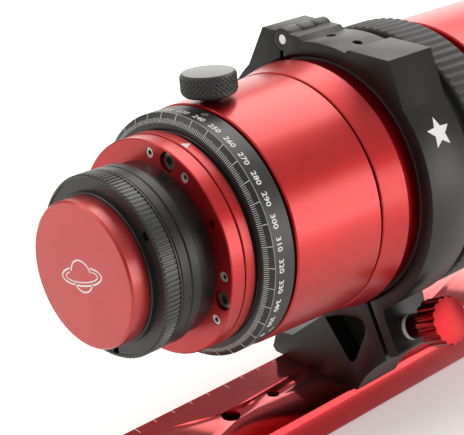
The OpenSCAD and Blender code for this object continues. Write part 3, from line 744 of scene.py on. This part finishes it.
def arc(rx, rz, start, end, tilt=0.0, steps=48):
    """Points of an ellipse's arc, tilted about its centre, in degrees."""
    turn = Matrix.Rotation(math.radians(tilt), 2)
    out = []
    for i in range(steps + 1):
        a = math.radians(start + (end - start) * i / steps)
        out.append(turn @ Vector((rx * math.cos(a), rz * math.sin(a))))
    return out


def make_planet(bm):
    """A globe in two arcs and a tilted double ring that is open where it passes behind."""
    line = 0.6 * MM
    globe = 6.0 * MM
    tilt = 18
    stroke(bm, arc(globe, globe, 30, 178), line)
    stroke(bm, arc(globe, globe, 216, 352), line)
    stroke(bm, arc(11.8 * MM, 3.6 * MM, 122, 418, tilt), line)
    stroke(bm, arc(9.5 * MM, 2.3 * MM, 136, 404, tilt), line * 0.7)


piece("cap_emblem", make_planet, white, "rear_cap")


# Generic centimetre marks along the bar's top edge
def make_bar_marks(bm):
    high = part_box("dovetail_bar")[1]
    half = 20.0 * MM
    for i in range(-11, 12):
        length = (3.4 if i % 5 == 0 else 2.0) * MM
        y = i * 10 * MM
        w = 0.15 * MM
        corners = [
            Vector((-half, y - w, high.z)), Vector((-half + length, y - w, high.z)),
            Vector((-half + length, y + w, high.z)), Vector((-half, y + w, high.z))
        ]
        slab(bm, corners, Vector((0, 0, PAINT)))


piece("bar_marks", make_bar_marks, white, "mount")


# ---- Light, floor and camera

def floor():
    """A pale floor just under the bar that glows a little, so that it stays near white."""
    mat, shader = material("pale_floor", (0.9, 0.9, 0.9), 0.6)
    shader.inputs["Emission Color"].default_value = (1, 1, 1, 1)
    shader.inputs["Emission Strength"].default_value = 0.25
    tint(mat, shader, noise(mat, place(mat), 3, 2), (0.88, 0.88, 0.88), (0.92, 0.92, 0.92))
    bpy.ops.mesh.primitive_plane_add(size=12, location=(0, 0, cad_low.z - 0.0005))
    plane = bpy.context.object
    plane.name = "floor"
    plane.data.materials.append(mat)


def area_light(name, place_at, target, size, power, shape_y=None):
    """A slightly warm panel, out of the camera's sight, that faces the target."""
    light = bpy.data.lights.new(name, "AREA")
    light.energy = power
    light.color = (1, 0.965, 0.92)
    light.size = size
    if shape_y:
        light.shape = "RECTANGLE"
        light.size_y = shape_y
    obj = bpy.data.objects.new(name, light)
    obj.location = place_at
    obj.rotation_mode = "QUATERNION"
    obj.rotation_quaternion = (Vector(target) - Vector(place_at)).to_track_quat("-Z", "Y")
    obj.visible_camera = False
    bpy.context.scene.collection.objects.link(obj)


def world_light():
    """A pale room that is dim near the horizon and brighter overhead."""
    world = bpy.data.worlds.new("studio")
    world.use_nodes = True
    nodes, links = world.node_tree.nodes, world.node_tree.links
    direction = nodes.new("ShaderNodeTexCoord").outputs["Generated"]
    parts = nodes.new("ShaderNodeSeparateXYZ")
    ramp = nodes.new("ShaderNodeValToRGB")
    links.new(direction, parts.inputs[0])
    links.new(parts.outputs["Z"], ramp.inputs["Fac"])
    ramp.color_ramp.elements[0].position = 0.1
    ramp.color_ramp.elements[0].color = (0.14, 0.137, 0.132, 1)
    ramp.color_ramp.elements[1].position = 0.8
    ramp.color_ramp.elements[1].color = (0.8, 0.785, 0.76, 1)
    back = nodes["Background"]
    links.new(ramp.outputs["Color"], back.inputs["Color"])
    back.inputs["Strength"].default_value = 1.0
    bpy.context.scene.world = world


def camera():
    """The camera, from behind, to the right and above."""
    data = bpy.data.cameras.new("photo_camera")
    data.sensor_width = 36
    data.lens = 107.5
    data.clip_start = 0.01
    data.clip_end = 50
    obj = bpy.data.objects.new("photo_camera", data)
    bpy.context.scene.collection.objects.link(obj)
    place_at = Vector((355.24, -405.80, 320.99)) * MM
    target = Vector((13.10, -76.05, 112.68)) * MM
    look = (target - place_at).to_track_quat("-Z", "Y").to_matrix().to_4x4()
    roll = Matrix.Rotation(math.radians(-0.52), 4, "Z")
    obj.matrix_world = Matrix.Translation(place_at) @ look @ roll
    bpy.context.scene.camera = obj


floor()
world_light()
centre = (0, -0.06, AXIS)
area_light("overhead_box", (-0.25, 0.62, 0.86), centre, 0.75, 5.0, shape_y=0.5)
area_light("side_panel", (0.85, 0.6, 0.22), centre, 0.7, 5.0, shape_y=0.55)
area_light("backdrop_glow", (-1.1, 0.85, 0.35), centre, 1.3, 4.6, shape_y=0.6)
area_light("fill_box", (-0.7, -0.95, 0.7), centre, 0.9, 6)
camera()
bpy.context.scene.view_settings.view_transform = "Standard"
